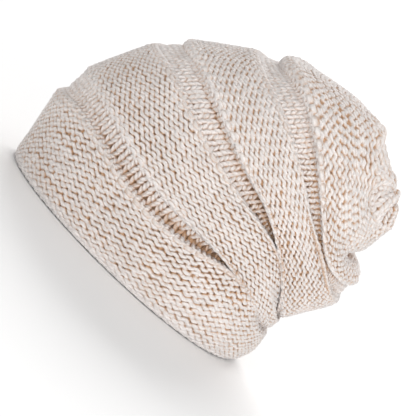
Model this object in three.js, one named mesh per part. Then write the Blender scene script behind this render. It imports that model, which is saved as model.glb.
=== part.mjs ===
// A slouchy knitted beanie that stands on its rim, in millimetres.
// +Z is up, the rim lies in Z = 0, the forehead faces -Y and the wearer's left side faces +X.
// The hat is one knitted wall: four purl welts with sunk knit channels between them, then a gathered crown.
import * as THREE from "three";
import { mergeVertices } from "three/addons/utils/BufferGeometryUtils.js";

// Overall sizes of the knitted wall
const LENGTH = 250; // forehead to the back of the bag
const WIDTH = 186; // side to side over the widest welt
const HEIGHT = 196; // rim to the top of the bag

// Sizes of the knit and its folds
const WALL = 4.6; // thickness of the knitted fabric
const CHANNEL_DEPTH = 4.2; // how far a knit channel lies below the welts beside it
const FOLD_DEPTH = 17; // how far the deepest fold at the nape tucks in
const LIP_OVERHANG = 2.4; // how far the lip of the top welt hangs over its channel
const RIM_ROUNDING = 1.2; // inset of the rounded lower edge
const PLEAT_DEPTH = 1.8; // half the height of a gathered pleat in the crown
const PLEATS = 9; // gathered pleats around the crown

// The eye of the crown and the yarn drawn through its loops
const EYE_DIAMETER = 10;
const YARN_DIAMETER = 2.6;
const CLEARANCE = 0.3; // gap between the drawn yarn and the fabric around it

// Points in each ring of the wall, and in the drawn yarn
const AROUND = 60;
const YARN_AROUND = 24;
const YARN_SIDES = 8;

// Rings of the hat, counted in knitted rows up from the rim. All lengths are percentages of a size above.
// front, back: where the ring meets the middle plane, of LENGTH from the hat's centre.
// half: half its width, of WIDTH. The heights, of HEIGHT, are read at five places from front to back.
const RING_COLUMNS = ["row", "front", "back", "half", "zFront", "zTemple", "zSide", "zQuarter", "zBack"];
const RINGS = [
  [0, -46.4, 38.8, 45.2, 0, 0, 0, 0, 0],
  [1.5, -46.9, 40.2, 46.5, 1.9, 1.9, 1.9, 1.9, 1.8],
  [5.5, -47.8, 42.0, 48.4, 10.2, 10.9, 9.6, 9.6, 8.6],
  [10, -49.0, 41.2, 49.5, 19.5, 21.3, 18.2, 18.6, 15.2],
  [14, -49.8, 40.4, 50, 28.4, 31.4, 26.0, 27.0, 16.2],
  [17, -48.8, 40.2, 49.7, 34.6, 36, 29.5, 28.2, 16.7],
  [20, -47.6, 40.6, 49.6, 41.1, 40.5, 32.9, 29.2, 17.3],
  [26.5, -43.2, 41.4, 50, 53.9, 52.8, 43.9, 35.4, 22.4],
  [33, -38.8, 40.9, 48.4, 64.0, 64.3, 54.1, 41.1, 23.4],
  [36, -35.6, 40.9, 48.4, 68.6, 68.6, 57, 42.2, 23.8],
  [39, -32.4, 41.6, 48.7, 73.3, 72.9, 59.9, 43.3, 24.3],
  [45.5, -22.2, 45.0, 48.4, 83.0, 80.6, 67.6, 47.9, 31.6],
  [52, -16.1, 49.2, 46.5, 88.0, 84.9, 72.2, 49.6, 40.5],
  [55, -12.6, 49.8, 46, 90, 89, 74.0, 52.4, 47],
  [58, -9.4, 49.3, 45.6, 91.8, 92.8, 75.8, 55.2, 53.6],
  [59.3, -8.6, 49, 45.2, 94.2, 94.2, 77, 57, 55.4],
  [61, -2, 47.6, 43.5, 96.2, 94.9, 77.4, 58.2, 57.4],
  [63.5, 4.6, 45.2, 39.5, 98.2, 95.6, 79.5, 62.5, 58.9],
  [67, 13.6, 45.2, 31.5, 99.6, 96.8, 81.6, 69, 65.5],
  [71, 22, 45.6, 20.4, 98.8, 96.9, 82.5, 74.2, 75],
  [73.5, 24.8, 44.6, 17, 95.6, 93.2, 84.5, 78.5, 78],
  [76, 31.6, 43.2, 11, 89.3, 89.2, 86.6, 83.2, 80.8],
  [78.5, 36.6, 42.2, 5, 86.5, 86.2, 84.5, 82.6, 81.4],
  [80, 38.8, 41, 2.7, 83.6, 83.2, 82.3, 81.3, 80.9],
];

// How far each row sinks below its ring. channel is a share of CHANNEL_DEPTH, all the way round;
// side, quarter and nape are shares of FOLD_DEPTH, from the sides to a narrow stretch at the back;
// overhang is a share of LIP_OVERHANG.
const FOLD_COLUMNS = ["row", "channel", "side", "quarter", "nape", "overhang"];
const FOLDS = [
  [0, 0, 0, 0, 0, 0],
  [9.5, 0, 0, 0, 0, 0],
  [11.5, 0, 0, 0, 0.35, 0],
  [13.8, 0, 0, 0, 0.6, 0],
  [15, 1.1, 0.12, 0.36, 0.6, 0],
  [17, 0.7, 0.08, 0.4, 0.6, 0],
  [19.2, 0.4, 0.05, 0.34, 0.6, 0],
  [20.2, 0, 0, 0, 0.55, 0],
  [21.3, 0, 0, 0, 0.3, 0],
  [23, 0, 0, 0, 0, 0],
  [26, 0, 0, 0, 0, 0],
  [28, 0, 0, 0, 0.25, 0],
  [31, 0, 0, 0, 0.55, 0],
  [32.8, 0, 0, 0, 0.65, 0],
  [34, 0.65, 0.06, 0.36, 0.6, 0],
  [36, 0.6, 0.06, 0.4, 0.6, 0],
  [38, 0.95, 0.12, 0.34, 0.45, 0],
  [39.2, 0, 0, 0, 0.3, 0],
  [41, 0, 0, 0, 0, 0],
  [51.8, 0, 0, 0, 0, 0],
  [53.2, 0.8, 0.02, 0, 0, 0],
  [55.5, 0.9, 0.05, 0, 0, 0.3],
  [57, 1.1, 0.06, 0, 0, 1],
  [58.2, 0, 0, 0, 0, 0],
  [61, 0, 0, 0, 0.1, 0],
  [63.5, 0, 0, 0, 0.6, 0],
  [66, 0, 0, 0, 0.1, 0],
  [68.5, 0, 0, 0, 0, 0],
  [80, 0, 0, 0, 0, 0],
];

// Bands from the rim up: the knitted rows of each, and the steps that its outer and inner faces take.
const BANDS = [
  { rows: 14, outerSteps: 8, innerSteps: 5 }, // brim welt
  { rows: 6, outerSteps: 5, innerSteps: 4 }, // channel 1
  { rows: 13, outerSteps: 7, innerSteps: 5 }, // welt 2
  { rows: 6, outerSteps: 5, innerSteps: 4 }, // channel 2
  { rows: 13, outerSteps: 7, innerSteps: 5 }, // welt 3
  { rows: 6, outerSteps: 5, innerSteps: 2 }, // channel 3
  { rows: 13, outerSteps: 7, innerSteps: 5 }, // welt 4
  { rows: 9, outerSteps: 6, innerSteps: 5 }, // crown
];
const LAST_ROW = BANDS.reduce((sum, band) => sum + band.rows, 0);

const NARROWING_SHARE = 0.06; // how much narrower the forehead end of a ring is than its middle
const QUARTER_SHARPNESS = 3; // how closely a quarter fold keeps to the back half
const NAPE_SHARPNESS = 14; // how closely a nape fold keeps to the very back
const UPRIGHT_ROWS = 4; // rows over the rim in which the wall turns from upright to its own slope
const ROUNDED_ROWS = 1.5; // rows that the rounded lower edge takes
const GATHER_ROWS = 12; // last rows of the hat, that its crown is pleated over
const EYE_ROWS = 1.5; // last rows of the hat, over which its rings turn into the round eye
const BAG_SLOPE_ROWS = 9; // rows on each side that the bag's slope is averaged over
const CROWN_SLOPE_ROWS = 3; // the same in the crown
const SLOPE_CHANGE_ROWS = [61, 71]; // rows between which one passes into the other
const SLOPE_ANGLE = 0.1; // the same around the ring, in radians
const WALL_ROWS = 9; // rows on each side that can lie within one wall thickness
const WALL_CHECKS_PER_ROW = 2; // places in each of these rows that are read
const PERCENT_SHARE = 0.01; // share of a size that one unit of a table stands for
const KNIT_COLOUR = 0xe3d8cd;
const KNIT_ROUGHNESS = 0.9;

const GATHER_START = LAST_ROW - GATHER_ROWS;
const EYE_START = LAST_ROW - EYE_ROWS;

// Turns a table into one list of numbers for each named column.
function columnsOf(names, table) {
  return Object.fromEntries(names.map((name, k) => [name, table.map((line) => line[k])]));
}

// Slopes of a smooth curve through the points (x, y) that never overshoots them.
function smoothSlopes(x, y) {
  const secants = x.slice(1).map((next, i) => (y[i + 1] - y[i]) / (next - x[i]));
  return x.map((_, i) => {
    if (i === 0) return secants[0];
    if (i === x.length - 1) return secants[i - 1];
    const product = secants[i - 1] * secants[i];
    return product <= 0 ? 0 : (2 * product) / (secants[i - 1] + secants[i]);
  });
}

// A smooth function of the row through one column of a table.
function curveOf(rows, values) {
  const slopes = smoothSlopes(rows, values);
  return (row) => {
    const at = THREE.MathUtils.clamp(row, rows[0], rows.at(-1));
    const i = Math.min(rows.length - 2, rows.findLastIndex((start) => start <= at));
    const span = rows[i + 1] - rows[i];
    const t = (at - rows[i]) / span;
    const s = 1 - t;
    const before = s * s * ((1 + 2 * t) * values[i] + t * span * slopes[i]);
    const after = t * t * ((3 - 2 * t) * values[i + 1] - s * span * slopes[i + 1]);
    return before + after;
  };
}

// One smooth function of the row for each column after the first.
function curvesOf(names, table) {
  const columns = columnsOf(names, table);
  return Object.fromEntries(names.slice(1).map((name) => [name, curveOf(columns.row, columns[name])]));
}

const ring = curvesOf(RING_COLUMNS, RINGS);
const fold = curvesOf(FOLD_COLUMNS, FOLDS);
const HEIGHT_COLUMNS = RING_COLUMNS.slice(4);

// Height of a ring at an angle from the forehead: the cosine series through its five heights.
function heightAt(angle, row) {
  const heights = HEIGHT_COLUMNS.map((name) => ring[name](row));
  const last = heights.length - 1;
  const endShare = (k) => (k === 0 || k === last ? 0.5 : 1);
  let sum = 0;
  for (let k = 0; k <= last; k++) {
    const wave = heights.reduce(
      (total, height, j) => total + endShare(j) * height * Math.cos((Math.PI * j * k) / last), 0);
    sum += endShare(k) * wave * Math.cos(k * angle);
  }
  return (2 / last) * sum * PERCENT_SHARE * HEIGHT;
}

// Place of the eye: its centre, the direction across it from front to back, and the way it faces.
function eyeFrame() {
  const middle = (ring.front(LAST_ROW) + ring.back(LAST_ROW)) / 2;
  const height = (ring.zFront(LAST_ROW) + ring.zBack(LAST_ROW)) / 2;
  const run = (ring.back(EYE_START) - ring.front(EYE_START)) * LENGTH;
  const rise = (ring.zBack(EYE_START) - ring.zFront(EYE_START)) * HEIGHT;
  const across = new THREE.Vector3(0, run, rise).normalize();
  return {
    centre: new THREE.Vector3(0, middle * PERCENT_SHARE * LENGTH, height * PERCENT_SHARE * HEIGHT),
    across,
    facing: new THREE.Vector3(0, -across.z, across.y),
  };
}

const eye = eyeFrame();

// Share, from 0 to 1, to which a row near the end belongs to the round eye.
const eyeShare = (row) => THREE.MathUtils.smoothstep(row, EYE_START, LAST_ROW);

// A point of the eye's edge.
function eyePoint(angle) {
  const radius = EYE_DIAMETER / 2;
  const point = eye.centre.clone().addScaledVector(eye.across, -radius * Math.cos(angle));
  point.x += radius * Math.sin(angle);
  return point;
}

// A point of the smooth form of the hat, before its channels, folds and pleats.
function formPoint(angle, row) {
  const front = ring.front(row) * PERCENT_SHARE * LENGTH;
  const back = ring.back(row) * PERCENT_SHARE * LENGTH;
  const half = ring.half(row) * PERCENT_SHARE * WIDTH;
  const width = half * Math.sin(angle) * (1 - NARROWING_SHARE * Math.cos(angle));
  const depth = (front + back) / 2 - ((back - front) / 2) * Math.cos(angle);
  const point = new THREE.Vector3(width, depth, heightAt(angle, row));
  return point.lerp(eyePoint(angle), eyeShare(row));
}

// The direction up the wall, square to its ring, and the direction out of the wall.
function wallDirections(angle, row) {
  const change = THREE.MathUtils.smoothstep(row, ...SLOPE_CHANGE_ROWS);
  const reach = THREE.MathUtils.lerp(BAG_SLOPE_ROWS, CROWN_SLOPE_ROWS, change);
  const up = formPoint(angle, Math.min(row + reach, LAST_ROW));
  up.sub(formPoint(angle, Math.max(row - reach, 0))).normalize();
  const along = formPoint(angle + SLOPE_ANGLE, row).sub(formPoint(angle - SLOPE_ANGLE, row));
  const out = along.clone().cross(up).normalize();
  out.z *= THREE.MathUtils.smoothstep(row, 0, UPRIGHT_ROWS);
  out.lerp(eye.facing, eyeShare(row)).normalize();
  return { up: up.crossVectors(out, along).normalize(), out };
}

// How far the knit sinks at a place in its channels, folds and pleats.
function sinkAt(angle, row) {
  const towardsBack = (1 - Math.cos(angle)) / 2;
  const side = fold.side(row) * Math.sin(angle) ** 2;
  const quarter = fold.quarter(row) * towardsBack ** QUARTER_SHARPNESS;
  const nape = fold.nape(row) * towardsBack ** NAPE_SHARPNESS;
  const gathered = THREE.MathUtils.clamp((row - GATHER_START) / GATHER_ROWS, 0, 1);
  const pleat = Math.sin(Math.PI * gathered) * Math.cos(PLEATS * angle);
  return CHANNEL_DEPTH * fold.channel(row) + FOLD_DEPTH * (side + quarter + nape) - PLEAT_DEPTH * pleat;
}

// The form point of a row, moved up under the lip that hangs over it.
function tuckedPoint(angle, row) {
  const towardsBack = (1 - Math.cos(angle)) / 2;
  const overhang = LIP_OVERHANG * fold.overhang(row) * (1 - towardsBack ** QUARTER_SHARPNESS);
  const point = formPoint(angle, row);
  return overhang > 0 ? point.addScaledVector(wallDirections(angle, row).up, overhang) : point;
}

function outerPoint(angle, row) {
  const rounded = RIM_ROUNDING * (1 - Math.min(row / ROUNDED_ROWS, 1)) ** 2;
  const sink = sinkAt(angle, row) + rounded;
  return tuckedPoint(angle, row).addScaledVector(wallDirections(angle, row).out, -sink);
}

// The inner face lies a wall's thickness from every point of the outer face near it.
function innerPoint(angle, row) {
  const start = formPoint(angle, row);
  const { up, out } = wallDirections(angle, row);
  let depth = 0;
  for (let step = -WALL_ROWS * WALL_CHECKS_PER_ROW; step <= WALL_ROWS * WALL_CHECKS_PER_ROW; step++) {
    const near = row + step / WALL_CHECKS_PER_ROW;
    if (near < 0 || near > LAST_ROW) continue;
    const distance = Math.abs(tuckedPoint(angle, near).sub(start).dot(up));
    if (distance > WALL) continue;
    depth = Math.max(depth, sinkAt(angle, near) + Math.sqrt(WALL * WALL - distance * distance));
  }
  return start.addScaledVector(out, -depth);
}

// The rows where a face of the wall has its rings.
function ringRows(stepsName) {
  const rows = [0];
  for (const band of BANDS) {
    const start = rows.at(-1);
    for (let step = 1; step <= band[stepsName]; step++) {
      rows.push(start + (band.rows * step) / band[stepsName]);
    }
  }
  return rows;
}

// The knitted wall: up the outer face, through the eye and down the inner face to the rim.
function knitShellGeometry() {
  const rings = [
    ...ringRows("outerSteps").map((row) => ({ row, place: outerPoint })),
    ...ringRows("innerSteps").reverse().map((row) => ({ row, place: innerPoint })),
  ];
  const positions = [];
  const faces = [];
  rings.forEach(({ row, place }, k) => {
    const nextRing = (k + 1) % rings.length;
    for (let i = 0; i < AROUND; i++) {
      const next = (i + 1) % AROUND;
      positions.push(...place((2 * Math.PI * i) / AROUND, row).toArray());
      const corners = [k * AROUND + i, k * AROUND + next, nextRing * AROUND + next, nextRing * AROUND + i];
      faces.push(corners[0], corners[1], corners[2], corners[0], corners[2], corners[3]);
    }
  });
  const geometry = new THREE.BufferGeometry();
  geometry.setAttribute("position", new THREE.Float32BufferAttribute(positions, 3));
  geometry.setIndex(faces);
  geometry.computeVertexNormals();
  return geometry;
}

// The drawn yarn is a ring inside the eye, halfway through the wall.
function drawYarnGeometry() {
  const radius = EYE_DIAMETER / 2 - CLEARANCE - YARN_DIAMETER / 2;
  const geometry = new THREE.TorusGeometry(radius, YARN_DIAMETER / 2, YARN_SIDES, YARN_AROUND);
  geometry.deleteAttribute("normal");
  geometry.deleteAttribute("uv");
  const closed = mergeVertices(geometry);
  closed.computeVertexNormals();
  return closed;
}

function namedMesh(name, geometry) {
  const material = new THREE.MeshStandardMaterial({ color: KNIT_COLOUR, roughness: KNIT_ROUGHNESS });
  const mesh = new THREE.Mesh(geometry, material);
  mesh.name = name;
  return mesh;
}

const beanie = new THREE.Group();
beanie.name = "slouchy_beanie";
beanie.add(namedMesh("knit_shell", knitShellGeometry()));

const drawYarn = namedMesh("crown_draw_yarn", drawYarnGeometry());
drawYarn.quaternion.setFromUnitVectors(new THREE.Vector3(0, 0, 1), eye.facing);
drawYarn.position.copy(eye.centre).addScaledVector(eye.facing, -WALL / 2);
beanie.add(drawYarn);

export default beanie;
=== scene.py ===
"""A slouchy knitted beanie, dressed stitch by stitch around its packed form.

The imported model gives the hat's solid wall and the yarn in its eye. Here each course of the knit is one
closed run of yarn, looped along the same folded form, so purl shows its bumps and knit its columns.
All lengths are in metres, the rim stands in Z = 0 and the forehead faces -Y.
"""
import logging
import math
from dataclasses import dataclass, field
from enum import Enum

import bmesh
import bpy
import numpy as np
from mathutils import Matrix, Vector


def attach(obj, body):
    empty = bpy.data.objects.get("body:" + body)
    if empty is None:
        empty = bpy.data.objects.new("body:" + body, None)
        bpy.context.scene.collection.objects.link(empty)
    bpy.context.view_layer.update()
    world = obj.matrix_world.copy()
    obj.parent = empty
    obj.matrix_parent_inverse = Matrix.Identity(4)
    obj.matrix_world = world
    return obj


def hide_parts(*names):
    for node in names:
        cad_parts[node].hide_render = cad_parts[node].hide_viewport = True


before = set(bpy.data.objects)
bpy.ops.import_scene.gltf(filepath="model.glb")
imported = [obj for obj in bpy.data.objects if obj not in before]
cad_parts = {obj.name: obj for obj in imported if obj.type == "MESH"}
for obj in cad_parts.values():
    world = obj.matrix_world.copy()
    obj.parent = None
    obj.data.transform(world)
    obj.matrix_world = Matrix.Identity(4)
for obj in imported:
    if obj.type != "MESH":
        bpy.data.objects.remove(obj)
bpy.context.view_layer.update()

LOG = logging.getLogger("beanie")
PERCENT = 0.01
FULL_TURN = 2 * math.pi
LEAST_LENGTH = 1e-12


def smooth_share(value: np.ndarray, start: float, end: float) -> np.ndarray:
    """Gives a share from 0 to 1 that rises smoothly from start to end.

    Args:
        value: Where the share is read.
        start: Value below which the share is 0.
        end: Value above which the share is 1.

    Returns:
        The share at each value.
    """
    t = np.clip((value - start) / (end - start), 0, 1)
    return t * t * (3 - 2 * t)


def unit(vectors: np.ndarray) -> np.ndarray:
    """Returns the vectors scaled to a length of 1."""
    return vectors / np.maximum(np.linalg.norm(vectors, axis=-1, keepdims=True), LEAST_LENGTH)


def placed(name: str, data: bpy.types.ID) -> bpy.types.Object:
    """Returns a new object of the scene that shows the data."""
    made = bpy.data.objects.new(name, data)
    bpy.context.scene.collection.objects.link(made)
    return made


def share_behind(angle: np.ndarray) -> np.ndarray:
    """Returns the share that rises from 0 at the forehead to 1 at the nape."""
    return (1 - np.cos(angle)) / 2


def turned_from_front(angle: np.ndarray) -> np.ndarray:
    """Returns the angles from the forehead by the shorter way round, from 0 to half a turn."""
    return np.abs((angle + math.pi) % FULL_TURN - math.pi)


@dataclass(frozen=True)
class RowTable:
    """A table of values by knitted row, read as smooth curves that never overshoot its lines.

    Attributes:
        columns: Names of the values on each line, after the row.
        lines: The lines, each a row followed by its values.
    """

    columns: tuple[str, ...]
    lines: tuple[tuple[float, ...], ...]

    def read(self, name: str, row: np.ndarray) -> np.ndarray:
        """Reads one column.

        Args:
            name: Name of the column.
            row: Rows up from the rim.

        Returns:
            The column's value at each row.
        """
        lines = np.array(self.lines)
        rows = lines[:, 0]
        values = lines[:, 1 + self.columns.index(name)]
        secants = np.diff(values) / np.diff(rows)
        product = secants[:-1] * secants[1:]
        total = np.where(product > 0, secants[:-1] + secants[1:], 1.0)
        middle = np.where(product > 0, 2 * product / total, 0.0)
        slopes = np.concatenate([secants[:1], middle, secants[-1:]])
        at = np.clip(row, rows[0], rows[-1])
        i = np.clip(np.searchsorted(rows, at, side="right") - 1, 0, len(rows) - 2)
        span = rows[i + 1] - rows[i]
        t = (at - rows[i]) / span
        s = 1 - t
        before = s * s * ((1 + 2 * t) * values[i] + t * span * slopes[i])
        after = t * t * ((3 - 2 * t) * values[i + 1] - s * span * slopes[i + 1])
        return before + after


# Rings of the hat by knitted row. front and back are percentages of its length, half is one of its width,
# and the heights are percentages of its height, read at five places from front to back.
HEIGHTS = ("z_front", "z_temple", "z_side", "z_quarter", "z_back")
RINGS = RowTable(
    columns=("front", "back", "half") + HEIGHTS,
    lines=(
        (0, -46.4, 38.8, 45.2, 0, 0, 0, 0, 0),
        (1.5, -46.9, 40.2, 46.5, 1.9, 1.9, 1.9, 1.9, 1.8),
        (5.5, -47.8, 42.0, 48.4, 10.2, 10.9, 9.6, 9.6, 8.6),
        (10, -49.0, 41.2, 49.5, 19.5, 21.3, 18.2, 18.6, 15.2),
        (14, -49.8, 40.4, 50, 28.4, 31.4, 26.0, 27.0, 16.2),
        (17, -48.8, 40.2, 49.7, 34.6, 36, 29.5, 28.2, 16.7),
        (20, -47.6, 40.6, 49.6, 41.1, 40.5, 32.9, 29.2, 17.3),
        (26.5, -43.2, 41.4, 50, 53.9, 52.8, 43.9, 35.4, 22.4),
        (33, -38.8, 40.9, 48.4, 64.0, 64.3, 54.1, 41.1, 23.4),
        (36, -35.6, 40.9, 48.4, 68.6, 68.6, 57, 42.2, 23.8),
        (39, -32.4, 41.6, 48.7, 73.3, 72.9, 59.9, 43.3, 24.3),
        (45.5, -22.2, 45.0, 48.4, 83.0, 80.6, 67.6, 47.9, 31.6),
        (52, -16.1, 49.2, 46.5, 88.0, 84.9, 72.2, 49.6, 40.5),
        (55, -12.6, 49.8, 46, 90, 89, 74.0, 52.4, 47),
        (58, -9.4, 49.3, 45.6, 91.8, 92.8, 75.8, 55.2, 53.6),
        (59.3, -8.6, 49, 45.2, 94.2, 94.2, 77, 57, 55.4),
        (61, -2, 47.6, 43.5, 96.2, 94.9, 77.4, 58.2, 57.4),
        (63.5, 4.6, 45.2, 39.5, 98.2, 95.6, 79.5, 62.5, 58.9),
        (67, 13.6, 45.2, 31.5, 99.6, 96.8, 81.6, 69, 65.5),
        (71, 22, 45.6, 20.4, 98.8, 96.9, 82.5, 74.2, 75),
        (73.5, 24.8, 44.6, 17, 95.6, 93.2, 84.5, 78.5, 78),
        (76, 31.6, 43.2, 11, 89.3, 89.2, 86.6, 83.2, 80.8),
        (78.5, 36.6, 42.2, 5, 86.5, 86.2, 84.5, 82.6, 81.4),
        (80, 38.8, 41, 2.7, 83.6, 83.2, 82.3, 81.3, 80.9),
    ),
)

# How far each row sinks below its ring. channel is a share of the channel depth, all the way round. side,
# quarter and nape are shares of the fold depth, from the sides to the very back. overhang is a share of the
# lip's. lean is a share of the soft lips' lean over the folds near the nape, up above 0 and down below it.
FOLDS = RowTable(
    columns=("channel", "side", "quarter", "nape", "overhang", "lean"),
    lines=(
        (0, 0, 0, 0, 0, 0, 0),
        (9.5, 0, 0, 0, 0, 0, 0.2),
        (11.5, 0, 0, 0, 0.35, 0, 0.6),
        (13.8, 0, 0, 0, 0.6, 0, 1),
        (15, 1.1, 0.12, 0.36, 0.6, 0, 0.5),
        (17, 0.7, 0.08, 0.4, 0.6, 0, 0),
        (19.2, 0.4, 0.05, 0.34, 0.6, 0, -0.5),
        (20.2, 0, 0, 0, 0.55, 0, -1),
        (21.3, 0, 0, 0, 0.3, 0, -0.9),
        (23, 0, 0, 0, 0, 0, -0.5),
        (26, 0, 0, 0, 0, 0, 0),
        (28, 0, 0, 0, 0.25, 0, 0.2),
        (31, 0, 0, 0, 0.55, 0, 0.7),
        (32.8, 0, 0, 0, 0.65, 0, 1),
        (34, 0.65, 0.06, 0.36, 0.6, 0, 0.5),
        (36, 0.6, 0.06, 0.4, 0.6, 0, 0),
        (38, 0.95, 0.12, 0.34, 0.45, 0, -0.5),
        (39.2, 0, 0, 0, 0.3, 0, -1),
        (41, 0, 0, 0, 0, 0, -0.7),
        (47, 0, 0, 0, 0, 0, 0),
        (51.8, 0, 0, 0, 0, 0, 1),
        (53.2, 0.8, 0.02, 0, 0, 0, 0.6),
        (55.5, 0.9, 0.05, 0, 0, 0.3, 0),
        (57, 1.1, 0.06, 0, 0, 1, -0.6),
        (58.2, 0, 0, 0, 0, 0, -1),
        (61, 0, 0, 0, 0.1, 0, -0.4),
        (63.5, 0, 0, 0, 0.6, 0, 0),
        (66, 0, 0, 0, 0.1, 0, 0),
        (68.5, 0, 0, 0, 0, 0, 0),
        (80, 0, 0, 0, 0, 0, 0),
    ),
)


@dataclass(frozen=True)
class HatForm:
    """The folded form of the knitted wall, by angle round from the forehead and by row up from the rim.

    Attributes:
        length: Forehead to the back of the bag.
        width: Side to side over the widest welt.
        height: Rim to the top of the bag.
        wall: Thickness of the knitted fabric.
        channel_depth: How far a knit channel lies below the welts beside it.
        fold_depth: How far the deepest fold at the nape tucks in.
        lip_overhang: How far the lip of the top welt hangs over its channel.
        lip_lean: How far the lips on both sides of a fold lean together at the nape.
        lean_from: Angles round from the forehead between which the lean sets in, in radians.
        rim_rounding: Inset of the rounded lower edge.
        pleat_depth: Half the height of a gathered pleat in the crown.
        pleats: Gathered pleats around the crown.
        eye_diameter: Width of the eye that the crown closes to.
        last_row: Row of the eye's edge.
        narrow_front: How much narrower the forehead end of a ring is than its middle, as a share.
        quarter_sharpness: How closely the quarter's share of a fold gathers towards the back.
        nape_sharpness: The same for the nape's share.
        upright_rows: Rows above the rim in which the direction out of the wall turns level.
        rounded_rows: Rows in which the lower edge is rounded.
        gather_start: Row where the pleats set in.
        crown_inner: Row where the rings start to turn into the round eye.
        bag_slope_rows: Rows to each side over which the wall's slope is read in the bag.
        crown_slope_rows: The same in the crown.
        slope_change: Rows between which the first of them gives way to the second.
        slope_angle: Angle to each side over which a ring's own direction is read, in radians.
        normal_rows: Rows to each side over which the direction out of the folded wall is read.
        normal_angle: Angle to each side for the same, in radians.
        backing_rows: Rows beside a point whose depths the backing layer takes part in.
    """

    length: float = 0.250
    width: float = 0.186
    height: float = 0.196
    wall: float = 0.0046
    channel_depth: float = 0.0042
    fold_depth: float = 0.017
    lip_overhang: float = 0.0024
    lip_lean: float = 0.0045
    lean_from: tuple[float, float] = (1.75, 2.3)
    rim_rounding: float = 0.0012
    pleat_depth: float = 0.0026
    pleats: int = 9
    eye_diameter: float = 0.010
    last_row: float = 80.0
    narrow_front: float = 0.06
    quarter_sharpness: int = 3
    nape_sharpness: int = 14
    upright_rows: float = 4.0
    rounded_rows: float = 1.5
    gather_start: float = 68.0
    crown_inner: float = 78.5
    bag_slope_rows: float = 9.0
    crown_slope_rows: float = 3.0
    slope_change: tuple[float, float] = (61.0, 71.0)
    slope_angle: float = 0.1
    normal_rows: float = 0.8
    normal_angle: float = 0.02
    backing_rows: tuple[float, ...] = (-1.6, -0.8, 0.0, 0.8, 1.6)

    def read_length(self, name: str, row: np.ndarray) -> np.ndarray:
        """Reads a column of the rings as a length along the hat."""
        return RINGS.read(name, row) * PERCENT * self.length

    def ring_height(self, angle: np.ndarray, row: np.ndarray) -> np.ndarray:
        """Gives the height of a ring by the cosine series through its five heights.

        Args:
            angle: Angle from the forehead, in radians.
            row: Row up from the rim.

        Returns:
            The heights above the rim's plane.
        """
        heights = [RINGS.read(name, row) for name in HEIGHTS]
        last = len(heights) - 1
        weights = [0.5] + [1.0] * (last - 1) + [0.5]  # the ends of such a series count half
        total = np.zeros_like(row)
        for k in range(last + 1):
            wave = sum(
                weights[j] * height * math.cos(math.pi * j * k / last) for j, height in enumerate(heights)
            )
            total = total + weights[k] * wave * np.cos(k * angle)
        return (2 / last) * total * PERCENT * self.height

    def eye_frame(self) -> tuple[np.ndarray, np.ndarray, np.ndarray]:
        """Places the eye of the crown.

        Returns:
            Its centre, the direction across it from front to back, and the way it faces.
        """
        end = np.array([self.last_row])
        inner = np.array([self.crown_inner])
        middle = (self.read_length("front", end) + self.read_length("back", end))[0] / 2
        level = (RINGS.read("z_front", end) + RINGS.read("z_back", end))[0] / 2
        run = (self.read_length("back", inner) - self.read_length("front", inner))[0]
        rise = (RINGS.read("z_back", inner) - RINGS.read("z_front", inner))[0] * PERCENT * self.height
        across = unit(np.array([0.0, run, rise]))
        centre = np.array([0.0, middle, level * PERCENT * self.height])
        return centre, across, np.array([0.0, -across[2], across[1]])

    def eye_share(self, row: np.ndarray) -> np.ndarray:
        """Gives the share to which a row belongs to the round eye."""
        return smooth_share(row, self.crown_inner, self.last_row)[:, None]

    def ring_point(self, angle: np.ndarray, row: np.ndarray) -> np.ndarray:
        """Gives points of the smooth form, before its channels, folds and pleats.

        Args:
            angle: Angle from the forehead, in radians.
            row: Row up from the rim.

        Returns:
            One point for each pair, as lines of X, Y and Z.
        """
        row = np.clip(row, 0, self.last_row)
        front = self.read_length("front", row)
        back = self.read_length("back", row)
        half = RINGS.read("half", row) * PERCENT * self.width
        x = half * np.sin(angle) * (1 - self.narrow_front * np.cos(angle))
        y = (front + back) / 2 - (back - front) / 2 * np.cos(angle)
        ring = np.stack([x, y, self.ring_height(angle, row)], axis=1)
        centre, across, _ = self.eye_frame()
        radius = self.eye_diameter / 2
        eye = centre - across * (radius * np.cos(angle))[:, None]
        eye[:, 0] += radius * np.sin(angle)
        share = self.eye_share(row)
        return ring * (1 - share) + eye * share

    def wall_directions(self, angle: np.ndarray, row: np.ndarray) -> tuple[np.ndarray, np.ndarray]:
        """Gives the directions up the wall and out of it, averaged over the rows beside.

        Args:
            angle: Angle from the forehead, in radians.
            row: Row up from the rim.

        Returns:
            The direction up, square to the ring, and the direction out.
        """
        share = smooth_share(row, *self.slope_change)
        reach = self.bag_slope_rows + (self.crown_slope_rows - self.bag_slope_rows) * share
        above = self.ring_point(angle, np.minimum(row + reach, self.last_row))
        below = self.ring_point(angle, np.maximum(row - reach, 0))
        ahead = self.ring_point(angle + self.slope_angle, row)
        along = ahead - self.ring_point(angle - self.slope_angle, row)
        out = unit(np.cross(along, unit(above - below)))
        out[:, 2] *= smooth_share(row, 0, self.upright_rows)
        eye = self.eye_share(row)
        out = unit(out * (1 - eye) + self.eye_frame()[2] * eye)
        return unit(np.cross(out, along)), out

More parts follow.
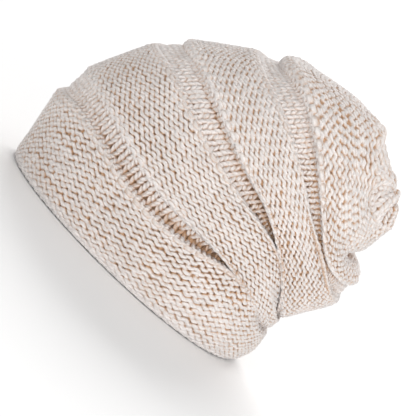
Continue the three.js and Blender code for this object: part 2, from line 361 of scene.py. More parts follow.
    def sink(self, angle: np.ndarray, row: np.ndarray) -> np.ndarray:
        """Gives how far the knit sinks in its channels, folds, pleats and rounded rim.

        Args:
            angle: Angle from the forehead, in radians.
            row: Row up from the rim.

        Returns:
            The depth under the smooth form.
        """
        behind = share_behind(angle)
        fold = FOLDS.read("side", row) * np.sin(angle) ** 2
        fold += FOLDS.read("quarter", row) * behind**self.quarter_sharpness
        fold += FOLDS.read("nape", row) * behind**self.nape_sharpness
        gathered = np.clip((row - self.gather_start) / (self.last_row - self.gather_start), 0, 1)
        pleat = np.sin(np.pi * gathered) * np.cos(self.pleats * angle)
        rounded = (1 - np.minimum(row / self.rounded_rows, 1)) ** 2
        return (
            self.channel_depth * FOLDS.read("channel", row)
            + self.fold_depth * fold
            - self.pleat_depth * pleat
            + self.rim_rounding * rounded
        )

    def overhang(self, angle: np.ndarray, row: np.ndarray) -> np.ndarray:
        """Gives how far the lips lean over the channels and folds beside them.

        Args:
            angle: Angle from the forehead, in radians.
            row: Row up from the rim.

        Returns:
            The distance up the wall, or down it below 0.
        """
        ahead = 1 - share_behind(angle) ** self.quarter_sharpness
        lip = self.lip_overhang * FOLDS.read("overhang", row) * ahead
        leaning = smooth_share(turned_from_front(angle), *self.lean_from)
        return lip + self.lip_lean * FOLDS.read("lean", row) * leaning

    def outer_point(self, angle: np.ndarray, row: np.ndarray) -> np.ndarray:
        """Gives points of the knit's outer face.

        Args:
            angle: Angle from the forehead, in radians.
            row: Row up from the rim.

        Returns:
            One point for each pair.
        """
        up, out = self.wall_directions(angle, row)
        point = self.ring_point(angle, row) + up * self.overhang(angle, row)[:, None]
        return point - out * self.sink(angle, row)[:, None]

    def backing_point(self, angle: np.ndarray, row: np.ndarray, sunk: float) -> np.ndarray:
        """Gives points of a layer under the loops, which lies as far in as the deepest rows beside.

        Args:
            angle: Angle from the forehead, in radians.
            row: Row up from the rim.
            sunk: How far the layer lies inside the middle of the wall.

        Returns:
            One point for each pair.
        """
        up, out = self.wall_directions(angle, row)
        beside = [self.sink(angle, np.clip(row + step, 0, self.last_row)) for step in self.backing_rows]
        depth = np.max(beside, axis=0) + self.wall / 2 + sunk
        point = self.ring_point(angle, row) + up * self.overhang(angle, row)[:, None]
        return point - out * depth[:, None]

    def middle_frame(self, angle: np.ndarray, row: np.ndarray) -> tuple[np.ndarray, np.ndarray]:
        """Gives points halfway through the knitted wall, and the true direction out of the wall there.

        Args:
            angle: Angle from the forehead, in radians.
            row: Row up from the rim.

        Returns:
            The points and the directions.
        """
        ahead = self.outer_point(angle + self.normal_angle, row)
        along = ahead - self.outer_point(angle - self.normal_angle, row)
        above = self.outer_point(angle, np.minimum(row + self.normal_rows, self.last_row))
        below = self.outer_point(angle, np.maximum(row - self.normal_rows, 0))
        out = unit(np.cross(along, above - below))
        return self.outer_point(angle, row) - out * (self.wall / 2), out


class Face(Enum):
    """Which side of a stitch shows on the outside of the hat."""

    KNIT = 1
    PURL = -1


@dataclass(frozen=True)
class Band:
    """A run of courses worked with the same stitch. A course is one knitted round.

    Attributes:
        name: Name of its piece.
        first_row: Row of the form where it starts.
        last_row: Row of the form where it ends.
        courses: Courses that it is worked in.
        face: Side of the stitch that shows.
    """

    name: str
    first_row: float
    last_row: float
    courses: int
    face: Face


BANDS = (
    Band("brim_welt_yarn", 0, 14, 14, Face.PURL),
    Band("channel_1_yarn", 14, 20, 6, Face.KNIT),
    Band("welt_2_yarn", 20, 33, 13, Face.PURL),
    Band("channel_2_yarn", 33, 39, 6, Face.KNIT),
    Band("welt_3_yarn", 39, 52, 12, Face.PURL),
    Band("channel_3_yarn", 52, 58, 6, Face.KNIT),
    Band("welt_4_yarn", 58, 71, 12, Face.PURL),
    Band("crown_yarn", 71, 80, 9, Face.KNIT),
)


@dataclass(frozen=True)
class Gauge:
    """How the yarn is looped.

    Attributes:
        stitches: Stitches in a course, by the first row of the form that has that many.
        points: Points along one stitch's run of yarn.
        yarn_radius: Half the yarn's thickness.
        even_pitch: Distance between courses where the yarn has its full thickness.
        thin_limits: Least and greatest share of its thickness that the yarn takes where courses crowd.
        loop_reach: How far a loop reaches above and below its course, in courses.
        knit_sway: How far a knit loop leans beside its even run, as a share of the stitch's width.
        purl_sway: How far a purl loop leans in the same way.
        squeeze: How much thicker a loop's legs are than its head and foot, as a share.
        relief: How far the yarn comes forward and goes back in a loop.
        lip_swell: How much thicker the yarn shows in the first and the last course of a purl welt.
        recess_shade: Painted shade added to the yarn in the deepest folds, where shade falls, in the
            measure of depth.
        recess_depths: Depths under the smooth form between which that painted shade sets in.
        rim_lift: How much of the painted shade is taken off at the rim's edge, so that the yarn there is
            coloured lighter, in the measure of depth.
        rim_courses: Courses from the rim's edge in which that fades out.
        foot_height: Least height of a loop's foot above the rim's edge, in courses.
        cast_on_height: Height of the cast-on yarn above the rim's edge, in courses.
        border_share: Share of its own face that a purl loop's head keeps under a knit course, and of the
            purl face that a knit loop's foot takes over one.
        head_cosine: Cosine of a loop's phase above which it is head, and below whose negative it is foot.
        unevenness: How far a hand-made stitch strays along its course, as a share of its width.
        free_play: How much further it strays up and outwards, in the measures of its course and its relief.
        seed: Start of the strays' random numbers.
        twists: Turns of the plies on each stitch.
        bevel_steps: Steps in each quarter of the yarn's round.
    """

    stitches: tuple[tuple[float, int], ...] = (
        (0, 76), (57.5, 64), (64.5, 56), (66.3, 48), (68, 40), (70.5, 32), (73, 24), (76, 16), (79, 8),
    )
    points: int = 12
    yarn_radius: float = 0.00196
    even_pitch: float = 0.0038
    thin_limits: tuple[float, float] = (0.7, 1.2)
    loop_reach: float = 0.80
    knit_sway: float = 0.235
    purl_sway: float = 0.165
    squeeze: float = 0.13
    relief: float = 0.0008
    lip_swell: float = 1.14
    recess_shade: float = 0.6
    recess_depths: tuple[float, float] = (0.0035, 0.011)
    rim_lift: float = 1.2
    rim_courses: float = 1.3
    foot_height: float = 0.42
    cast_on_height: float = 0.56
    border_share: float = 0.75
    head_cosine: float = math.sqrt(0.5)
    unevenness: float = 0.045
    free_play: float = 2.0
    seed: int = 11
    twists: int = 2
    bevel_steps: int = 1

    def stitches_in(self, row: float) -> int:
        """Returns the number of stitches in a course at a row of the form."""
        return [count for start, count in self.stitches if row >= start][-1]


@dataclass
class CourseSpread:
    """Spreads the courses along the path up the hat.

    Courses that a purl welt has no room for slip into the knit channels beside it, but not into the crown.

    Attributes:
        form: The folded form.
        bands: The bands from the rim up.
        welt_pitch: Least distance between the courses of a purl welt.
        columns: Places around half the hat where the path is measured.
        step: Rows of the form from one measured point to the next.
        samples: Places kept for each course.
    """

    form: HatForm
    bands: tuple[Band, ...]
    welt_pitch: float = 0.0033
    columns: int = 61
    step: float = 0.1
    samples: int = 8

    def __post_init__(self) -> None:
        """Measures the paths and keeps the row and the pitch of every course at each place."""
        angles = np.linspace(0, math.pi, self.columns)
        rows = np.arange(0, self.form.last_row + self.step / 2, self.step)
        grid = self.form.outer_point(np.repeat(angles, len(rows)), np.tile(rows, self.columns))
        grid = grid.reshape(self.columns, len(rows), 3)
        steps = np.linalg.norm(np.diff(grid, axis=1), axis=2)
        paths = np.concatenate([np.zeros((self.columns, 1)), np.cumsum(steps, axis=1)], axis=1)
        self.total = sum(band.courses for band in self.bands)
        edges = np.array([0.0] + [band.last_row for band in self.bands])
        wanted = np.arange(self.total * self.samples + 1) / self.samples
        self.rows = np.zeros((self.columns, len(wanted)))
        self.pitch = np.zeros_like(self.rows)
        for k, path in enumerate(paths):
            marks = np.interp(edges, rows, path)
            done = np.concatenate([[0.0], np.cumsum(self.shared(np.diff(marks)))])
            self.rows[k] = np.interp(np.interp(wanted, done, marks), path, rows)
            pitches = np.diff(marks) / np.diff(done)
            self.pitch[k] = np.interp(wanted, (done[1:] + done[:-1]) / 2, pitches)

    def shared(self, lengths: np.ndarray) -> np.ndarray:
        """Shares the courses out over the bands' paths at one place around the hat.

        Args:
            lengths: Length of each band's path.

        Returns:
            The courses that lie on each band's path.
        """
        counts = np.array([float(band.courses) for band in self.bands])
        for k, band in enumerate(self.bands):
            if band.face is Face.PURL:
                surplus = max(band.courses - lengths[k] / self.welt_pitch, 0.0)
                beside = [j for j in (k - 1, k + 1) if 0 <= j < len(self.bands) - 1]
                counts[k] -= surplus
                for j in beside:
                    counts[j] += surplus / len(beside)
        return counts

    def read(self, table: np.ndarray, angle: np.ndarray, course: np.ndarray) -> np.ndarray:
        """Reads one of the two tables at a place of the knit.

        Args:
            table: The rows or the pitch.
            angle: Angle from the forehead, in radians.
            course: Courses up from the rim.

        Returns:
            The table's value at each place.
        """
        turned = turned_from_front(angle) / math.pi * (self.columns - 1)
        up = np.clip(course, 0, self.total) * self.samples
        i = np.minimum(turned.astype(int), self.columns - 2)
        j = np.minimum(up.astype(int), table.shape[1] - 2)
        u = turned - i
        v = up - j
        lower = table[i, j] * (1 - u) + table[i + 1, j] * u
        upper = table[i, j + 1] * (1 - u) + table[i + 1, j + 1] * u
        return lower * (1 - v) + upper * v


@dataclass(frozen=True)
class Grain:
    """A noise that shades the yarn.

    Attributes:
        scale: Its fineness, per metre.
        detail: Finer layers in it.
        source: Values of it from dark to bright.
        dark: Share of its brightness that the yarn keeps in the dark.
    """

    scale: float
    detail: float
    source: tuple[float, float]
    dark: float


@dataclass
class NodeWork:
    """Adds nodes to a material.

    Attributes:
        tree: The material's node tree.
    """

    tree: bpy.types.NodeTree

    def fill(self, node: bpy.types.Node, sockets: dict[str | int, object]) -> None:
        """Fills a node's inputs.

        Args:
            node: The node.
            sockets: For each input that is used, its value or the socket that it is linked from.
        """
        for key, source in sockets.items():
            if isinstance(source, bpy.types.NodeSocket):
                self.tree.links.new(source, node.inputs[key])
            else:
                node.inputs[key].default_value = source

    def add(
        self, kind: str, output: str, sockets: dict[str | int, object], **settings: str
    ) -> bpy.types.NodeSocket:
        """Adds a node.

        Args:
            kind: Its type, without what all types start with.
            output: Name of the output that is used.
            sockets: Its inputs, as in fill.
            settings: Its own settings.

        Returns:
            The output's socket.
        """
        node = self.tree.nodes.new("ShaderNode" + kind)
        for name, setting in settings.items():
            setattr(node, name, setting)
        self.fill(node, sockets)
        return node.outputs[output]

    def noise(self, grain: Grain) -> bpy.types.NodeSocket:
        """Returns the value of a noise on the piece's own coordinates."""
        place = self.add("TexCoord", "Object", {})
        return self.add("TexNoise", "Fac", {"Vector": place, "Scale": grain.scale, "Detail": grain.detail})

    def ranged(
        self, value: bpy.types.NodeSocket, source: tuple[float, float], darkest: float = 0.0
    ) -> bpy.types.NodeSocket:
        """Returns a value mapped smoothly from the source range to that from the darkest share to 1."""
        sockets = {"Value": value, "From Min": source[0], "From Max": source[1], "To Min": darkest}
        return self.add("MapRange", "Result", sockets, interpolation_type="SMOOTHSTEP")

    def product(self, first: bpy.types.NodeSocket, second: bpy.types.NodeSocket) -> bpy.types.NodeSocket:
        """Returns the product of two values."""
        return self.add("Math", "Value", {0: first, 1: second}, operation="MULTIPLY")


@dataclass(frozen=True)
class YarnFinish:
    """The soft plied yarn.

    Attributes:
        name: Name of the material.
        light: The yarn's own cream colour, on the strands that lie open.
        painted_shade_colour: Painted shade: the brown that the strands between them and the yarn's sides
            are coloured where shade falls.
        painted_shade_range: Depths between which the painted shade gives way to the light colour, in the
            measure of the attribute "depth": the distance from the middle of the wall, in halves of the
            yarn's thickness.
        fibres: The grain of its fibres.
        fibre_bump: Height of the fibres.
        patches: The grain of its slow changes of shade.
        plies: Strands that the yarn is twisted from.
        ply_groove_shade: Painted shade in the grooves between two plies: the share of its brightness that
            the
        yarn keeps there.
        ply_range: Values of the plies' wave from dark to bright.
        ply_bump: Depth of the grooves between the plies.
        roughness: Roughness of the yarn.
        sheen: Weight of its soft sheen.
        sheen_roughness: Roughness of the sheen.
    """

    name: str = "cream_plied_yarn"
    light: tuple[float, float, float] = (0.875, 0.825, 0.80)
    # Painted shade: the warm brown that the gaps and the yarn's sides are coloured.
    painted_shade_colour: tuple[float, float, float] = (0.56, 0.325, 0.175)
    painted_shade_range: tuple[float, float] = (0.5, 1.25)
    fibres: Grain = Grain(1400.0, 3.0, (0.3, 0.65), 0.82)
    fibre_bump: float = 0.00012
    patches: Grain = Grain(60.0, 2.0, (0.3, 0.7), 0.93)
    plies: int = 3
    ply_groove_shade: float = 0.9
    ply_range: tuple[float, float] = (-1.0, 0.0)
    ply_bump: float = 0.00025
    roughness: float = 0.9
    sheen: float = 0.2
    sheen_roughness: float = 0.6

    def ply_wave(self, nodes: NodeWork) -> bpy.types.NodeSocket:
        """Adds the wave of the twisted plies, from -1 in their grooves to 1 on their backs.

        Args:
            nodes: Adds the nodes.

        Returns:
            The socket that gives the wave.
        """
        place = nodes.add("UVMap", "UV", {}, uv_map="UVMap")
        turns = (FULL_TURN, FULL_TURN * self.plies, 0.0)
        turn = nodes.add("VectorMath", "Value", {0: place, 1: turns}, operation="DOT_PRODUCT")
        return nodes.add("Math", "Value", {0: turn}, operation="COSINE")

    def colour(
        self, nodes: NodeWork, fibres: bpy.types.NodeSocket, plies: bpy.types.NodeSocket
    ) -> bpy.types.NodeSocket:
        """Adds the colour with painted shade by depth and between plies, toned by the fibres and the
        patches.

        Args:
            nodes: Adds the nodes.
            fibres: The fibres' noise.
            plies: The plies' wave.

        Returns:
            The socket that gives the colour.
        """
        depth = nodes.add("Attribute", "Fac", {}, attribute_name="depth")
        # Painted shade: where the yarn lies low in the wall, its colour turns to the painted shade colour.
        openness = nodes.ranged(depth, self.painted_shade_range)
        ends = {"A": (*self.painted_shade_colour, 1.0), "B": (*self.light, 1.0), "Factor": openness}
        base = nodes.add("Mix", "Result", ends, data_type="RGBA")
        patches = nodes.ranged(nodes.noise(self.patches), self.patches.source, self.patches.dark)
        shades = nodes.product(nodes.ranged(fibres, self.fibres.source, self.fibres.dark), patches)
        # Painted shade in the grooves between the plies.
        shades = nodes.product(shades, nodes.ranged(plies, self.ply_range, self.ply_groove_shade))
        tinted = {"A": base, "B": shades, "Factor": 1.0}
        return nodes.add("Mix", "Result", tinted, data_type="RGBA", blend_type="MULTIPLY")

    def material(self) -> bpy.types.Material:
        """Builds the yarn's material.

        Returns:
            The material.
        """
        made = bpy.data.materials.new(self.name)
        made.use_nodes = True
        nodes = NodeWork(made.node_tree)
        fibres = nodes.noise(self.fibres)
        plies = self.ply_wave(nodes)
        grooved = nodes.add("Bump", "Normal", {"Height": plies, "Distance": self.ply_bump})
        fine = {"Height": fibres, "Distance": self.fibre_bump, "Normal": grooved}
        sockets = {
            "Base Color": self.colour(nodes, fibres, plies),
            "Normal": nodes.add("Bump", "Normal", fine),
            "Roughness": self.roughness,
            "Sheen Weight": self.sheen,
            "Sheen Roughness": self.sheen_roughness,
        }
        nodes.fill(made.node_tree.nodes["Principled BSDF"], sockets)
        return made


@dataclass(frozen=True)
class YarnRun:
    """A closed run of yarn before it is given its thickness.

    Attributes:
        points: Its centre line.
        middle: The middle of the knitted wall beside each point.
        out: The direction out of the wall there.
        facing: The direction out of the smooth form there.
        painted_shade_shift: Painted shade on it there, in the measure of depth: more where it lies in a
            fold,
        less at the rim's edge.
        radius: Half the yarn's thickness there.
        twists: Turns of the yarn's plies on the whole run.
    """

    points: np.ndarray
    middle: np.ndarray
    out: np.ndarray
    facing: np.ndarray
    painted_shade_shift: np.ndarray
    radius: np.ndarray
    twists: int


def yarn_tubes(name: str, runs: list[YarnRun], bevel_steps: int) -> bpy.types.Mesh:
    """Makes one mesh of round tubes along closed runs of yarn.

    Args:
        name: Name of the mesh.
        runs: The runs of yarn.
        bevel_steps: Steps in each quarter of the yarn's round.

    Returns:
        The mesh, whose points go round the yarn at each point of the runs in turn.
    """
    curve = bpy.data.curves.new(name + "_curve", "CURVE")
    curve.dimensions = "3D"
    curve.bevel_depth = 1.0
    curve.bevel_resolution = bevel_steps
    for run in runs:
        spline = curve.splines.new("POLY")
        spline.points.add(len(run.points) - 1)
        weighted = np.column_stack([run.points, np.ones(len(run.points))])
        spline.points.foreach_set("co", weighted.ravel())
        spline.points.foreach_set("radius", run.radius)
        spline.use_cyclic_u = True
    shaper = placed(curve.name, curve)
    graph = bpy.context.evaluated_depsgraph_get()
    mesh = bpy.data.meshes.new_from_object(shaper.evaluated_get(graph))
    bpy.data.objects.remove(shaper)
    mesh.name = name
    mesh.shade_smooth()
    return mesh


def store_depth(mesh: bpy.types.Mesh, shares: np.ndarray) -> None:
    """Stores the attribute "depth" of each point, by which the yarn's material paints shade."""
    layer = mesh.attributes.new("depth", "FLOAT", "POINT")
    layer.data.foreach_set("value", shares.astype(np.float32))


def yarn_mesh(name: str, runs: list[YarnRun], bevel_steps: int) -> bpy.types.Mesh:
    """Makes one mesh of round yarns along closed runs.

    Args:
        name: Name of the mesh.
        runs: The runs of yarn.
        bevel_steps: Steps in each quarter of the yarn's round.

    Returns:
        The mesh. Its attribute "depth" holds how far each point lies from the middle of the wall, in halves
        of the yarn's thickness, less the run's painted shade shift; the material paints shade where it is
        low.
        Its UV map runs along the yarn in twists and once around it.
    """
    mesh = yarn_tubes(name, runs, bevel_steps)
    place = np.zeros(len(mesh.vertices) * 3)
    mesh.vertices.foreach_get("co", place)
    middle, out, facing, radius, painted_shade_shift = (
        np.concatenate([getattr(run, part) for run in runs])
        for part in ("middle", "out", "facing", "radius", "painted_shade_shift")
    )
    offset = place.reshape(len(middle), -1, 3) - middle[:, None]
    # Painted shade mask: points near the middle of the wall, on the yarn's sides and in the gaps, are
    # coloured brown.
    across_wall = np.abs(np.einsum("ijk,ik->ij", offset, out))
    depth = np.maximum(across_wall, np.einsum("ijk,ik->ij", offset, facing))
    store_depth(mesh, (depth / radius[:, None] - painted_shade_shift[:, None]).ravel())
    twists = np.repeat([run.twists for run in runs], [len(run.points) for run in runs])
    layer = mesh.uv_layers.active.uv
    places = np.zeros(len(mesh.loops) * 2, dtype=np.float32)
    layer.foreach_get("vector", places)
    places = places.reshape(len(twists), -1, 2)
    places[:, :, 0] *= twists[:, None]
    layer.foreach_set("vector", places.ravel())
    return mesh


def dressed_piece(mesh: bpy.types.Mesh, yarn: bpy.types.Material, node: str) -> bpy.types.Object:
    """Dresses a mesh in the yarn's material and ties it to the frame.

    Args:
        mesh: The finished mesh.
        yarn: The yarn's material.
        node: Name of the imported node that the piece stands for.

    Returns:
        The piece.
    """
    piece = placed(mesh.name, mesh)
    mesh.materials.clear()
    mesh.materials.append(yarn)
    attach(piece, "root")
    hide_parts(node)
    triangles = sum(len(face.vertices) - 2 for face in mesh.polygons)
    LOG.info("%s: %d triangles, stands for %s", piece.name, triangles, node)
    return piece


@dataclass
class KnittedHat:
    """The whole knitted body, one piece of yarn loops for each band.

    Attributes:
        form: The folded form that the loops follow.
        gauge: How the yarn is looped.
        bands: The bands from the rim up.
    """

    form: HatForm = field(default_factory=HatForm)
    gauge: Gauge = field(default_factory=Gauge)
    bands: tuple[Band, ...] = BANDS

    def __post_init__(self) -> None:
        """Spreads the courses over the form."""
        self.spread = CourseSpread(self.form, self.bands)
        self.faces = [band.face.value for band in self.bands for _ in range(band.courses)]

    def course_run(self, course: int) -> YarnRun:
        """Works out the closed run of yarn of one course.

        Args:
            course: Number of the course, from 0 at the rim.

        Returns:
            The run.
        """
        gauge = self.gauge
        spread = self.spread
        mid_course = course + 0.5
        side = spread.read(spread.rows, np.array([math.pi / 2]), np.array([mid_course]))
        count = gauge.stitches_in(float(side[0]))
        turn = np.arange(count * gauge.points) / gauge.points
        phase = FULL_TURN * (turn % 1)
        stray = np.random.default_rng(gauge.seed + course).normal(0, gauge.unevenness, (3, count))
        marks = np.arange(count + 1)
        stray = [np.interp(turn, marks, np.append(line, line[0])) for line in stray]
        knit = self.faces[course] == Face.KNIT.value
        sway = gauge.knit_sway if knit else gauge.purl_sway
        angle = FULL_TURN / count * (turn + sway * np.sin(2 * phase) + stray[0])
        up = mid_course + gauge.loop_reach * np.cos(phase) + gauge.free_play * stray[1]
        up = np.clip(up, gauge.foot_height, spread.total)
        row = spread.read(spread.rows, angle, up)
        middle, out = self.form.middle_frame(angle, row)
        facing = self.form.wall_directions(angle, row)[1]
        # Painted shade: browner where the wall sinks into folds, and taken off at the rim's edge.
        painted_shade_shift = gauge.recess_shade * smooth_share(self.form.sink(angle, row), *gauge.recess_depths)
        painted_shade_shift = painted_shade_shift - gauge.rim_lift * (1 - smooth_share(up, gauge.foot_height, gauge.rim_courses))
        share = np.clip(spread.read(spread.pitch, angle, up) / gauge.even_pitch, *gauge.thin_limits)
        own, face, at_border = self.shown_face(course, phase)
        if at_border and not knit:
            share = share * gauge.lip_swell
        wave = -face * np.cos(2 * phase)
        forward = gauge.relief * share * (wave + gauge.free_play * stray[2])
        radius = gauge.yarn_radius * share * (1 + own * gauge.squeeze * wave)
        points = middle + out * forward[:, None]
        return YarnRun(points, middle, out, facing, painted_shade_shift, radius, count * gauge.twists)

    def shown_face(self, course: int, phase: np.ndarray) -> tuple[int, np.ndarray, bool]:
        """Gives the face that shows along a course, whose heads and feet hang in its neighbours.

        Args:
            course: Number of the course, from 0 at the rim.
            phase: Phase along each loop, 0 at its head.

        Returns:
            The course's own face, the face at each place, and whether another face lies above or below.
        """
        own = self.faces[course]
        above = self.faces[min(course + 1, len(self.faces) - 1)]
        below = self.faces[max(course - 1, 0)]
        share = self.gauge.border_share
        if own == Face.KNIT.value:
            head, foot = above, share * below + (1 - share) * own
        else:
            head, foot = share * own + (1 - share) * above, own
        limit = self.gauge.head_cosine
        face = np.where(np.cos(phase) > limit, head, own)
        return own, np.where(np.cos(phase) < -limit, foot, face), {own, above, below} != {own}

    def cast_on_run(self) -> YarnRun:
        """Works out the run of yarn along the rim, which fills the gaps between the first course's feet.

        Returns:
            The run.
        """
        gauge = self.gauge
        count = gauge.stitches_in(0)
        angle = FULL_TURN * np.arange(count * gauge.points) / (count * gauge.points)
        up = np.full_like(angle, gauge.cast_on_height)
        middle, out = self.form.middle_frame(angle, self.spread.read(self.spread.rows, angle, up))
        radius = np.full_like(angle, gauge.yarn_radius)
        forward = gauge.relief * (1 + np.cos(count * angle)) / 2
        points = middle + out * forward[:, None]
        # No painted shade on the cast-on yarn: it is coloured lighter at the rim's edge.
        painted_shade_shift = np.full_like(angle, -gauge.rim_lift)
        return YarnRun(points, middle, out, out, painted_shade_shift, radius, count * gauge.twists)

    def build(self, yarn: bpy.types.Material) -> list[bpy.types.Object]:
        """Builds and dresses every band.

        Args:
            yarn: The yarn's material.

        Returns:
            The pieces, from the rim up.
        """
        pieces = []
        done = 0
        for band in self.bands:
            runs = [self.course_run(course) for course in range(done, done + band.courses)]
            if done == 0:
                runs.append(self.cast_on_run())
            mesh = yarn_mesh(band.name, runs, self.gauge.bevel_steps)
            pieces.append(dressed_piece(mesh, yarn, "knit_shell"))
            done += band.courses
        return pieces


@dataclass
class BackingLayer:
    """The strands behind the loops, as one soft layer that shows through the gaps between them.

    Its outside is painted shade: the brown painted shade colour darkens the gaps between the loops where
    shade falls. Its inside has the open yarn colour.

    Attributes:
        hat: The knitted hat that it lies in.
        around: Faces around the hat.
        courses_up: Faces up the hat.
        sunk: How far it lies inside the middle of the wall.
        thickness: Distance between its two sides.
        outer_depth: Depth that colours its outside, in the measure of the yarn's own attribute, which gives
            it the full painted shade colour.
        inner_depth: Depth that colours its inside, mostly the open yarn colour.
        join_distance: Distance under which points at the forehead are one.
    """

    hat: KnittedHat
    around: int = 152
    courses_up: int = 158
    sunk: float = 0.0008
    thickness: float = 0.0004
    outer_depth: float = 0.5
    inner_depth: float = 1.1
    join_distance: float = 1e-6

    def build(self, yarn: bpy.types.Material) -> bpy.types.Object:
        """Builds the layer as a grid that is wrapped around the form, joined at the forehead and doubled.

        Args:
            yarn: The yarn's material.

        Returns:
            The finished piece.
        """
        half = 0.5  # of the flat grid's width, so that its places read as shares
        shape = bmesh.new()
        bmesh.ops.create_grid(
            shape, x_segments=self.around, y_segments=self.courses_up, size=half, calc_uvs=True
        )
        spread = self.hat.spread
        foot = self.hat.gauge.foot_height
        flat = np.array([vertex.co for vertex in shape.verts])
        angle = FULL_TURN * (flat[:, 0] + half)
        row = spread.read(spread.rows, angle, foot + (flat[:, 1] + half) * (spread.total - foot))
        for vertex, place in zip(shape.verts, self.hat.form.backing_point(angle, row, self.sunk)):
            vertex.co = place
        bmesh.ops.remove_doubles(shape, verts=shape.verts, dist=self.join_distance)
        bmesh.ops.recalc_face_normals(shape, faces=shape.faces)
        outer_points = len(shape.verts)
        outer_side = shape.verts[:] + shape.edges[:] + shape.faces[:]
        inner_side = bmesh.ops.duplicate(shape, geom=outer_side)["geom"]
        shape.normal_update()
        for vertex in [part for part in inner_side if isinstance(part, bmesh.types.BMVert)]:
            vertex.co -= vertex.normal * self.thickness
        inner_faces = [part for part in inner_side if isinstance(part, bmesh.types.BMFace)]
        bmesh.ops.reverse_faces(shape, faces=inner_faces)
        mesh = bpy.data.meshes.new("backing_strands_painted_shade")
        shape.to_mesh(mesh)
        shape.free()
        mesh.shade_smooth()
        # Painted shade on the outside, mostly the open yarn colour on the inside.
        shares = np.full(len(mesh.vertices), self.inner_depth)
        shares[:outer_points] = self.outer_depth
        store_depth(mesh, shares)
        return dressed_piece(mesh, yarn, "knit_shell")


@dataclass
class DrawnYarn:
    """The end of the yarn, drawn through the last loops so that they close the eye.

    Attributes:
        form: The folded form, which places the eye.
        ring_radius: Radius of the drawn ring.
        waves: Loops that it passes through.
        wave_height: How far it rises and falls between them.
        radius: Half the yarn's thickness.
        twists: Turns of the plies on the ring.
        points: Points along the ring.
        bevel_steps: Steps in each quarter of the yarn's round.
    """

    form: HatForm
    ring_radius: float = 0.0034
    waves: int = 9
    wave_height: float = 0.0005
    radius: float = 0.0013
    twists: int = 4
    points: int = 72
    bevel_steps: int = 2

    def build(self, yarn: bpy.types.Material) -> bpy.types.Object:
        """Builds the drawn ring in the eye.

        Args:
            yarn: The yarn's material.

        Returns:
            The finished piece.
        """
        centre, across, facing = self.form.eye_frame()
        turn = np.linspace(0, FULL_TURN, self.points, endpoint=False)
        side = np.array([1.0, 0.0, 0.0])
        ring = np.cos(turn)[:, None] * across + np.sin(turn)[:, None] * side
        middle = centre - facing * (self.form.wall / 2) + self.ring_radius * ring
        wave = self.wave_height * np.cos(self.waves * turn)
        out = np.repeat(facing[None], self.points, axis=0)
        points = middle + facing * wave[:, None]
        radius = np.full(self.points, self.radius)
        run = YarnRun(points, middle, out, out, np.zeros(self.points), radius, self.twists)
        mesh = yarn_mesh("drawn_yarn", [run], self.bevel_steps)
        return dressed_piece(mesh, yarn, "crown_draw_yarn")


@dataclass(frozen=True)
class Lamp:
    """A soft square lamp.

    Attributes:
        name: Its name.
        place: Where it hangs.
        size: Width of its face.
        power: Its power in watts.
    """

    name: str
    place: tuple[float, float, float]
    size: float
    power: float


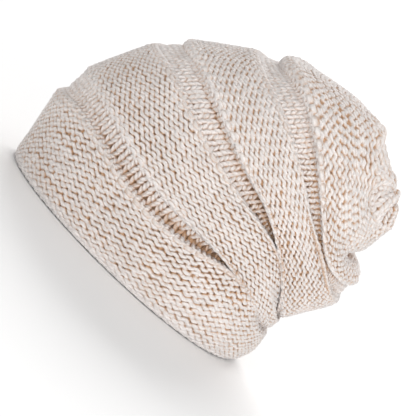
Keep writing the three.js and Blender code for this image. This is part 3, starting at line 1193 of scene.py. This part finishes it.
@dataclass
class Studio:
    """The pale floor, the soft lights and the camera at the photograph's angle.

    Attributes:
        lamps: The lamps, which all face the target.
        world_colour: Colour of the light from all round.
        world_strength: Its strength.
        floor_colour: Colour of the floor.
        floor_roughness: Roughness of the floor.
        target: Point that the middle of the picture shows.
        distance: From the target to the camera.
        elevation: Height of the camera over the target, in degrees.
        roll: Turn of the camera about its line of sight, in degrees.
        frame_width: Width of the picture at the target.
        floor_size: Width of the square floor.
        sensor_width: Width of the camera's sensor, in millimetres.
        far_end: Greatest distance that the camera shows.
    """

    lamps: tuple[Lamp, ...] = (
        Lamp("key_light", (1.55, 1.3, 0.4), 0.8, 12.0),
        Lamp("camera_light", (2.4, 0.1, 0.2), 1.4, 28.0),
        Lamp("top_light", (0.4, 0.2, 2.2), 2.4, 9.0),
        Lamp("backdrop_light", (-6.0, 0.0, 4.0), 4.0, 380.0),
    )
    world_colour: tuple[float, float, float] = (1.0, 0.99, 0.985)
    world_strength: float = 0.48
    floor_colour: tuple[float, float, float] = (0.93, 0.93, 0.93)
    floor_roughness: float = 0.9
    target: tuple[float, float, float] = (0.0, 0.011, 0.0666)
    distance: float = 1.8
    elevation: float = 9.0
    roll: float = 43.6
    frame_width: float = 0.296
    floor_size: float = 60.0
    sensor_width: float = 36.0
    far_end: float = 200.0

    def floor(self) -> None:
        """Lays the floor."""
        shape = bmesh.new()
        bmesh.ops.create_grid(shape, x_segments=1, y_segments=1, size=self.floor_size / 2)
        mesh = bpy.data.meshes.new("floor")
        shape.to_mesh(mesh)
        shape.free()
        paint = bpy.data.materials.new("pale_floor")
        paint.use_nodes = True
        shader = paint.node_tree.nodes["Principled BSDF"]
        shader.inputs["Base Color"].default_value = (*self.floor_colour, 1.0)
        shader.inputs["Roughness"].default_value = self.floor_roughness
        mesh.materials.append(paint)
        ground = placed("floor", mesh)

    def hang(self, lamp: Lamp) -> None:
        """Hangs one lamp so that it faces the target.

        Args:
            lamp: The lamp.
        """
        glow = bpy.data.lights.new(lamp.name, "AREA")
        glow.shape = "SQUARE"
        glow.size = lamp.size
        glow.energy = lamp.power
        holder = placed(lamp.name, glow)
        holder.location = lamp.place
        aim = Vector(lamp.place) - Vector(self.target)
        holder.rotation_euler = aim.to_track_quat("Z", "Y").to_euler()

    def camera(self) -> None:
        """Sets up the camera."""
        angle = math.radians(self.elevation)
        towards = Vector((math.cos(angle), 0.0, math.sin(angle)))
        lens = bpy.data.cameras.new("camera")
        lens.sensor_width = self.sensor_width
        lens.lens = self.sensor_width * self.distance / self.frame_width
        lens.clip_end = self.far_end
        holder = placed("camera", lens)
        rolled = Matrix.Rotation(math.radians(self.roll), 3, "Z")
        turned = towards.to_track_quat("Z", "Y").to_matrix() @ rolled
        place = Vector(self.target) + towards * self.distance
        holder.matrix_world = Matrix.Translation(place) @ turned.to_4x4()
        bpy.context.scene.camera = holder

    def build(self) -> None:
        """Lays the floor, hangs the lamps and sets up the camera."""
        self.floor()
        for lamp in self.lamps:
            self.hang(lamp)
        world = bpy.data.worlds.new("studio")
        world.use_nodes = True
        background = world.node_tree.nodes["Background"]
        background.inputs["Color"].default_value = (*self.world_colour, 1.0)
        background.inputs["Strength"].default_value = self.world_strength
        bpy.context.scene.world = world
        bpy.context.scene.view_settings.view_transform = "Standard"
        self.camera()


def main() -> None:
    """Builds the studio and the hat in order, and reports each piece."""
    logging.basicConfig(level=logging.INFO, format="%(message)s")
    Studio().build()
    yarn = YarnFinish().material()
    hat = KnittedHat()
    pieces = hat.build(yarn) + [BackingLayer(hat).build(yarn), DrawnYarn(hat.form).build(yarn)]
    LOG.info("%d pieces in all", len(pieces))


if __name__ == "__main__":
    main()
